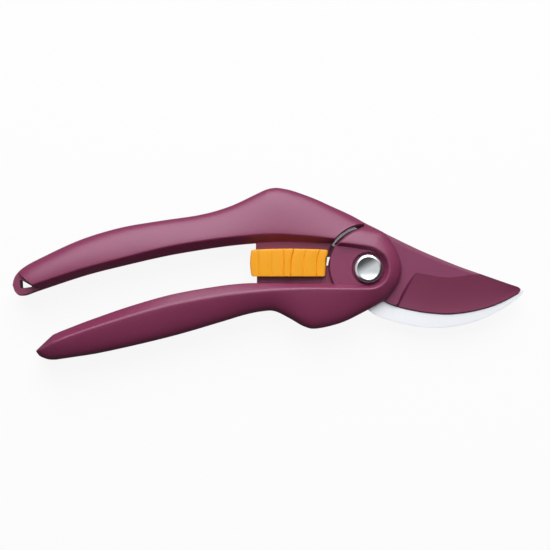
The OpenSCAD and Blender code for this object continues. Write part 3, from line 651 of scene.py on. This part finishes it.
shader = node(tree, "ShaderNodeBsdfPrincipled",
              {"Base Color": tone, "Roughness": gloss, "Normal": skin, "IOR": 1.45}).outputs[0]
node(tree, "ShaderNodeOutputMaterial", {"Surface": shader})
finish_piece(blade, coating, 6)

# The same film on the hollow-ground side, in a copy painted a shade darker: painted shade that deepens the
# shading of its tilted faces
shaded_ground_coating = coating.copy()
shaded_ground_coating.name = "low_friction_coating_plum_ground_painted_shade"
for item in shaded_ground_coating.node_tree.nodes:
    if item.bl_idname == "ShaderNodeMix":
        item.inputs[6].default_value = linear("#7b3452")
        item.inputs[7].default_value = linear("#823a58")
blade.data.materials.append(shaded_ground_coating)
# The faces that get the painted shade: those facing up below the flat top, on the hollow-ground side
upward, flat_face_z = 0.8, (half_t + blade_top) * 0.001 - 1e-5
for face in blade.data.polygons:
    if face.normal.z > upward and face.center.z < flat_face_z:
        face.material_index = 1
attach(blade, "lower_half")
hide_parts("cutting_blade")


# Pivot: a bolt from the front screws into a flanged sleeve from the back, with a washer under each head and a
# slip washer between the blades. All are steel. The bolt's head is turned, with a broad round shoulder and a
# dished face.
bolt_r, shank_r = 5.65, 2.5
sleeve_r, sleeve_bore, sleeve_top = 3.5, 2.55, 6.0
face_r, dish, face_drop = 4.4, 0.38, 0.12
bolt_top, bolt_under = half_t - 0.2, floor_z + 0.5
shank_end, end_chamfer, edge_chamfer = -6.2, 0.3, 0.2
rim_h, shoulder_in, crest_w = 0.7, 0.1, 0.12
sleeve_floor = 0.2
shoulder = bend([bolt_r, bolt_under + rim_h], [bolt_r - shoulder_in, bolt_top - shoulder_in],
                [face_r + crest_w, bolt_top], 10)
bolt_face = [(face_r * t, bolt_top - face_drop - dish * (1 - t * t)) for t in np.linspace(1, 0, 14)]
bolt = turned("pivot_bolt_head", np.vstack([
    [(0, shank_end), (shank_r - end_chamfer, shank_end), (shank_r, shank_end + end_chamfer),
     (shank_r, bolt_under), (bolt_r - edge_chamfer, bolt_under), (bolt_r, bolt_under + edge_chamfer)],
    shoulder, bolt_face]))

# Turned bright steel: the tool's circular marks smear each reflection towards the rim, which leaves bright
# and dark wedges. Such marks are about 0.1 mm apart and are drawn 0.25 mm apart, so that they show.
mark_gap = 0.00025
smear_size = 0.00143
bright, tree, place = empty_material("turned_bright_steel")
marks = node(tree, "ShaderNodeTexWave",
             {"Vector": place, "Scale": math.pi / (10 * mark_gap), "Distortion": 0.4, "Detail": 1.0},
             wave_type="RINGS", rings_direction="Z").outputs[1]
smear = node(tree, "ShaderNodeTexNoise",
             {"Vector": place, "Scale": 1 / smear_size, "Detail": 2.0}).outputs[0]
gloss = node(tree, "ShaderNodeMapRange", {"Value": smear, "To Min": 0.11, "To Max": 0.19}).outputs[0]
skin = node(tree, "ShaderNodeBump", {"Height": marks, "Strength": 0.04, "Distance": 0.00002}).outputs[0]
run = node(tree, "ShaderNodeTangent", direction_type="RADIAL", axis="Z").outputs[0]
shader = node(tree, "ShaderNodeBsdfPrincipled",
              {"Base Color": linear("#d3d6d9"), "Metallic": 1.0, "Roughness": gloss, "Normal": skin,
               "Tangent": run, "Anisotropic": 0.5, "Anisotropic Rotation": 0.25}).outputs[0]
node(tree, "ShaderNodeOutputMaterial", {"Surface": shader})
finish_piece(bolt, bright, 30)
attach(bolt, "upper_half")
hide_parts("pivot_bolt")
sleeve_face = [(face_r * t, -half_t + face_drop + dish * (1 - t * t)) for t in np.linspace(0, 1, 14)]
sleeve_shoulder = bend([face_r + crest_w, -half_t], [bolt_r - shoulder_in, -half_t + shoulder_in],
                       [bolt_r, -bolt_under - rim_h], 10)
sleeve = turned("pivot_sleeve_flange", np.vstack([
    sleeve_face, sleeve_shoulder,
    [(bolt_r, -bolt_under - edge_chamfer), (bolt_r - edge_chamfer, -bolt_under), (sleeve_r, -bolt_under),
     (sleeve_r, sleeve_top - end_chamfer), (sleeve_r - end_chamfer, sleeve_top), (sleeve_bore, sleeve_top),
     (sleeve_bore, -bolt_under + sleeve_floor), (0, -bolt_under + sleeve_floor)]]))
finish_piece(sleeve, bright, 30)
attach(sleeve, "upper_half")
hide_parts("pivot_sleeve")


def surface_node(name, material):
    """Gives one of the CAD nodes its material."""
    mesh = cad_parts[name].data
    mesh.materials.clear()
    mesh.materials.append(material)


for name in ("front_washer", "blade_washer", "rear_washer"):
    surface_node(name, bright)


# Return spring: one length of round spring wire, hidden in the lower handle's head. One leg drops through the
# cutting blade into the hook, and the other lies in a groove of the head, so it winds up as the handles close.
wire_r, wire_sides = 0.5, 16
coil_low, coil_rise, coil_turns, coil_points = 2.95, 1.61, 1.15, 72
leg_l, foot_up, elbow_h, elbow_a = 6.0, 0.3, 1.2, 7
coil_end = leg_a + 360 * coil_turns
coil = np.column_stack([arc((0, 0), coil_r, leg_a + elbow_a, coil_end, coil_points),
                        np.linspace(coil_low, coil_low + coil_rise, coil_points)])
elbow = bend([*leg_at, coil_low - elbow_h], [*leg_at, coil_low], coil[0], 7)[:-1]
last = coil[-1] + leg_l * np.array([-math.sin(math.radians(coil_end)), math.cos(math.radians(coil_end)), 0])
wire_path = np.vstack([[[*leg_at, hook_low + foot_up]], elbow, coil, [last]]) * 0.001
wire_path[:, 2] += half_t * 0.001
wire_mesh = bpy.data.meshes.new("return_spring_wire")
wire_mesh.from_pydata([tuple(p) for p in wire_path], [(i, i + 1) for i in range(len(wire_path) - 1)], [])
wire = bpy.data.objects.new("return_spring_wire", wire_mesh)
bpy.context.scene.collection.objects.link(wire)

# Drawn spring wire: blued grey steel, dull, with a faint 0.8 mm mottling from the bluing
blue_size = 0.000833
spring_steel, tree, place = empty_material("drawn_spring_steel")
streak = node(tree, "ShaderNodeTexNoise",
              {"Vector": place, "Scale": 1 / blue_size, "Detail": 3.0}).outputs[0]
tone = node(tree, "ShaderNodeMix", {0: streak, 6: linear("#6c6f76"), 7: linear("#8b8f96")},
            data_type="RGBA").outputs[2]
gloss = node(tree, "ShaderNodeMapRange", {"Value": streak, "To Min": 0.28, "To Max": 0.42}).outputs[0]
shader = node(tree, "ShaderNodeBsdfPrincipled",
              {"Base Color": tone, "Metallic": 1.0, "Roughness": gloss}).outputs[0]
node(tree, "ShaderNodeOutputMaterial", {"Surface": shader})

# A round wire drawn along the path
draw = bpy.data.node_groups.new("wire_drawn_along_path", "GeometryNodeTree")
for name, kind in (("Path", "NodeSocketGeometry"), ("Wire Radius", "NodeSocketFloat"),
                   ("Wire Sides", "NodeSocketInt"), ("Steel", "NodeSocketMaterial")):
    draw.interface.new_socket(name, in_out="INPUT", socket_type=kind)
draw.interface.new_socket("Wire", in_out="OUTPUT", socket_type="NodeSocketGeometry")
given = node(draw, "NodeGroupInput").outputs
line = node(draw, "GeometryNodeMeshToCurve", {0: given["Path"]}).outputs[0]
ring = node(draw, "GeometryNodeCurvePrimitiveCircle",
            {"Resolution": given["Wire Sides"], "Radius": given["Wire Radius"]}).outputs[0]
tube = node(draw, "GeometryNodeCurveToMesh",
            {"Curve": line, "Profile Curve": ring, "Fill Caps": True}).outputs[0]
whole = node(draw, "GeometryNodeRealizeInstances", {0: tube}).outputs[0]
blued = node(draw, "GeometryNodeSetMaterial", {"Geometry": whole, "Material": given["Steel"]}).outputs[0]
node(draw, "NodeGroupOutput", {0: blued})
modifier = wire.modifiers.new("draw", "NODES")
modifier.node_group = draw
sockets = {item.name: item.identifier for item in draw.interface.items_tree if item.in_out == "INPUT"}
modifier[sockets["Wire Radius"]] = wire_r * 0.001
modifier[sockets["Wire Sides"]] = wire_sides
modifier[sockets["Steel"]] = spring_steel
drawn = bpy.data.meshes.new_from_object(wire.evaluated_get(bpy.context.evaluated_depsgraph_get()))
wire.modifiers.clear()
wire.data = drawn
drawn.shade_smooth()
drawn.set_sharp_from_angle(angle=math.radians(50))
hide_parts("return_spring")
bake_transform(wire)


# Lock: an orange acetal slide that runs on both webs. A thumb button is pressed on the carriage from each side,
# with steps that fall away from the middle, and a spring leaf on the tongue clicks into the rail at either end.
carriage_at, button_at = np.array([-31.5, 2.6]), np.array([-31.5, 2.34])
button_l, button_w = 30.3, 11.0
button_foot, button_top = 3.4, 7.7
top_r, low_r, corner_r = 0.6, 0.12, 0.9
end_step, end_fall = 0.1, 0.5
crown_h, crown_share = 0.10, 0.72
top_bow = 0.45
left_bulge, bulge_power, bulge_level = 0.45, 6, 0.55
flange_x, flange_y, flange_top = np.array([-13.1, 13.1]), np.array([-4.75, 4.75]), 4.85

# The steps, as distances from the middle and heights below the top, with a groove at the foot of each, and how
# far the steps right of the middle lean forward across the button
tread = np.array([
    [-13.0, -1.12], [-12.4, -1.10], [-12.25, -1.18], [-12.05, -1.18], [-11.75, -0.92], [-11.4, -0.88],
    [-7.4, -0.68], [-7.2, -0.76], [-7.0, -0.76], [-6.7, -0.57], [-6.4, -0.54],
    [-2.6, -0.50], [-2.45, -0.54], [-2.35, -0.80], [-2.1, -0.80], [-1.85, -0.06], [-1.6, 0.0],
    [1.0, 0.0], [1.2, -0.06], [1.5, -0.82], [1.75, -0.82], [1.9, -0.56], [2.1, -0.52],
    [5.95, -0.56], [6.2, -0.60], [6.4, -0.92], [6.6, -0.92], [6.75, -0.80], [7.0, -0.78],
    [11.35, -0.94], [11.55, -1.0], [11.8, -1.60], [12.05, -1.60], [12.2, -1.42], [12.4, -1.40]])
lean = np.array([[-1.0, -0.75], [-0.25, -0.68], [0.15, -0.66], [0.45, -0.36], [0.7, 0.2], [1.0, 0.56]])
lean_from = 1.4


def button_outline():
    """Stations along the button: distance from its middle, top height and loss of half width."""
    ends = []
    for t in np.linspace(0, math.pi / 2, 7):
        reach = button_l / 2 - corner_r * (1 - math.sin(t))
        ends.append((reach, end_fall * (1 - math.cos(t)), corner_r * (1 - math.cos(t))))
    left = [(-x, button_top + tread[0, 1] - end_step - drop, loss) for x, drop, loss in ends[::-1]]
    right = [(x, button_top + tread[-1, 1] - end_step - drop, loss) for x, drop, loss in ends]
    return left + [(x, button_top + z, 0) for x, z in tread] + right


def thumb_button(name, rear):
    """One stepped thumb button, lofted along its length, with a pocket for the carriage's flange."""
    rings = []
    for x, high, loss in button_outline():
        half_w = button_w / 2 - loss
        sides = [bend([-half_w, high - fall - r], [-half_w, high - fall],
                      [-half_w + r, high - fall * crown_share], 6)
                 for r, fall in ((low_r, 0.0), (top_r, crown_h))]
        across = np.linspace(-half_w + low_r, half_w - top_r, 9)[1:-1]
        crown = crown_h * crown_share * (np.maximum(across, 0) / (half_w - low_r)) ** 2
        ring = np.vstack([[[-half_w, button_foot]], sides[0], np.column_stack([across, high - crown]),
                          sides[1][::-1] * [-1, 1], [[half_w, button_foot]]])
        ring[:, 0] -= top_bow * (x / (button_l / 2)) ** 2 * (ring[:, 0] / half_w + 1) / 2
        if x > 0:
            shift = np.interp(ring[:, 0] / half_w, lean[:, 0], lean[:, 1]) * min(x / lean_from, 1)
        else:
            end = max(0, -x / (button_l / 2)) ** bulge_power
            shift = left_bulge * end * ((ring[:, 0] / half_w) ** 2 - bulge_level)
        rings.append(np.column_stack([button_at[0] + x + shift, button_at[1] + ring[:, 0], ring[:, 1]]))
    m, n = len(rings[0]), len(rings)
    faces = [(i * m + j, i * m + (j + 1) % m, (i + 1) * m + (j + 1) % m, (i + 1) * m + j)
             for i in range(n - 1) for j in range(m)]
    faces += [tuple(range(m)), tuple(range((n - 1) * m, n * m))]
    button = solid(name, np.vstack(rings), faces)
    flange = rectangle(flange_x, flange_y) + carriage_at
    join(button, plate("flange_pocket", flange, button_foot - 1, flange_top), "DIFFERENCE")
    if rear:
        button.data.transform(Matrix.Scale(-1, 4, (0, 0, 1)))
        button.data.flip_normals()
    return button


# Acetal: dense, smooth and faintly waxy, with a soft sheen and very slight clouding from the mould. Its fine
# skin is drawn at 0.5 mm, so that it shows.
skin_size = 0.0005
clouding_size = 0.006
acetal, tree, place = empty_material("moulded_acetal_orange")
grain = node(tree, "ShaderNodeTexNoise", {"Vector": place, "Scale": 1 / skin_size, "Detail": 2.0}).outputs[0]
cloud = node(tree, "ShaderNodeTexNoise",
             {"Vector": place, "Scale": 1 / clouding_size, "Detail": 2.0}).outputs[0]
tone = node(tree, "ShaderNodeMix", {0: cloud, 6: linear("#ffaa18"), 7: linear("#ffb020")},
            data_type="RGBA").outputs[2]
gloss = node(tree, "ShaderNodeMapRange", {"Value": grain, "To Min": 0.38, "To Max": 0.50}).outputs[0]
skin = node(tree, "ShaderNodeBump", {"Height": grain, "Strength": 0.05, "Distance": 0.0001}).outputs[0]
shader = node(tree, "ShaderNodeBsdfPrincipled",
              {"Base Color": tone, "Roughness": gloss, "Normal": skin, "IOR": 1.42,
               "Subsurface Weight": 0.15, "Subsurface Radius": (1.0, 0.45, 0.08),
               "Subsurface Scale": 0.0008}).outputs[0]
node(tree, "ShaderNodeOutputMaterial", {"Surface": shader})
for side in ("front", "rear"):
    button = thumb_button("thumb_button_" + side, side == "rear")
    finish_piece(button, acetal, 32)
    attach(button, "lock")
    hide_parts("lock_button_" + side)
surface_node("lock_carriage", acetal)
surface_node("lock_detent_spring", spring_steel)


# Studio: a white table, a large soft key lamp behind the upper handle with three weak lamps round it, and a
# camera straight above. The camera sees the table and the room white, and reflections show them shading off on
# the side away from the key lamp.
table_reach = (-3.0, 3.0)
table_fade, table_mirrored = (-0.10, 0.10), (0.02, 0.12)
bounce_level = 0.13
glow_share = 0.91
floor_mesh = bpy.data.meshes.new("table")
floor_mesh.from_pydata([(x, y, 0) for x, y in rectangle(table_reach, table_reach)], [], [(0, 1, 2, 3)])
table = bpy.data.objects.new("table", floor_mesh)
bpy.context.scene.collection.objects.link(table)
white, tree, place = empty_material("white_table")
rays = node(tree, "ShaderNodeLightPath").outputs
table_y = node(tree, "ShaderNodeSeparateXYZ", {0: place}).outputs[1]
lit_side = node(tree, "ShaderNodeMapRange",
                {"Value": table_y, "From Min": table_fade[0], "From Max": table_fade[1],
                 "To Min": table_mirrored[0], "To Max": table_mirrored[1]}).outputs[0]
mirrored = node(tree, "ShaderNodeMath",
                {0: rays["Is Glossy Ray"], 1: lit_side}, operation="MULTIPLY").outputs[0]
seen = node(tree, "ShaderNodeMath", {0: rays["Is Camera Ray"], 1: mirrored}, operation="MAXIMUM").outputs[0]
bounce = node(tree, "ShaderNodeMath",
              {0: rays["Is Diffuse Ray"], 1: bounce_level}, operation="MULTIPLY").outputs[0]
seen = node(tree, "ShaderNodeMath", {0: seen, 1: bounce}, operation="MAXIMUM").outputs[0]
paint = node(tree, "ShaderNodeBsdfDiffuse", {"Color": linear("#f4f4f4")}).outputs[0]
glow = node(tree, "ShaderNodeEmission", {"Color": (1, 1, 1, 1), "Strength": seen}).outputs[0]
both = node(tree, "ShaderNodeMixShader", {0: glow_share, 1: paint, 2: glow}).outputs[0]
node(tree, "ShaderNodeOutputMaterial", {"Surface": both})
floor_mesh.materials.append(white)

sky_toward = (-0.50, 0.866, 0)
sky_fade, sky_mirrored = (-0.22, -0.02), (0.06, 0.88)
rise_fade, rise_mirrored = (0.0, 0.7), (0.1, 1.0)
room_level = 0.03
world = bpy.data.worlds.new("studio")
bpy.context.scene.world = world
world.use_nodes = True
tree = world.node_tree
tree.nodes.clear()
rays = node(tree, "ShaderNodeLightPath").outputs
sky_way = node(tree, "ShaderNodeTexCoord").outputs["Generated"]
sky_y = node(tree, "ShaderNodeVectorMath", {0: sky_way, 1: sky_toward}, operation="DOT_PRODUCT").outputs[1]
sky_side = node(tree, "ShaderNodeMapRange",
                {"Value": sky_y, "From Min": sky_fade[0], "From Max": sky_fade[1],
                 "To Min": sky_mirrored[0], "To Max": sky_mirrored[1]}).outputs[0]
sky_z = node(tree, "ShaderNodeSeparateXYZ", {0: sky_way}).outputs[2]
sky_up = node(tree, "ShaderNodeMapRange",
              {"Value": sky_z, "From Min": rise_fade[0], "From Max": rise_fade[1],
               "To Min": rise_mirrored[0], "To Max": rise_mirrored[1]}).outputs[0]
sky_side = node(tree, "ShaderNodeMath", {0: sky_side, 1: sky_up}, operation="MULTIPLY").outputs[0]
mirrored = node(tree, "ShaderNodeMath",
                {0: rays["Is Glossy Ray"], 1: sky_side}, operation="MULTIPLY").outputs[0]
seen = node(tree, "ShaderNodeMath", {0: rays["Is Camera Ray"], 1: mirrored}, operation="MAXIMUM").outputs[0]
level = node(tree, "ShaderNodeMath", {0: seen, 1: room_level}, operation="MAXIMUM").outputs[0]
sky = node(tree, "ShaderNodeBackground", {"Color": (1, 1, 1, 1), "Strength": level}).outputs[0]
node(tree, "ShaderNodeOutputWorld", {"Surface": sky})

lamp_aim, lamp_distance = (-0.035, 0, 0), 1.2


def lamp(name, tilt, turn, size, power):
    """A soft rectangular lamp that faces the tool from a tilt off the vertical and a turn from +Y."""
    light = bpy.data.lights.new(name, "AREA")
    light.shape = "RECTANGLE"
    light.size, light.size_y = size
    light.energy = power
    held = bpy.data.objects.new(name, light)
    bpy.context.scene.collection.objects.link(held)
    held.matrix_world = (Matrix.Translation(lamp_aim) @ Matrix.Rotation(math.radians(turn), 4, "Z")
                         @ Matrix.Rotation(math.radians(-tilt), 4, "X")
                         @ Matrix.Translation((0, 0, lamp_distance)))
    return held


lamp("key", 46, 3, (1.1, 1.1), 18.8)
lamp("overhead", 18, 0, (0.8, 0.3), 0.75)
lamp("side", 75, 0, (0.9, 0.6), 0.8)
fill = lamp("fill", 55, -120, (0.8, 0.8), 1.6)
fill.visible_glossy = False

frame_width, camera_height, sensor = 0.220, 0.7, 36
view_at = (-0.0370, -0.0026)
lens = bpy.data.cameras.new("camera")
lens.sensor_width = sensor
lens.lens = sensor * camera_height / frame_width
lens.clip_end = 20
camera = bpy.data.objects.new("camera", lens)
camera.location = (*view_at, camera_height + half_t * 0.001)
bpy.context.scene.collection.objects.link(camera)
bpy.context.scene.camera = camera
bpy.context.scene.view_settings.view_transform = "Standard"
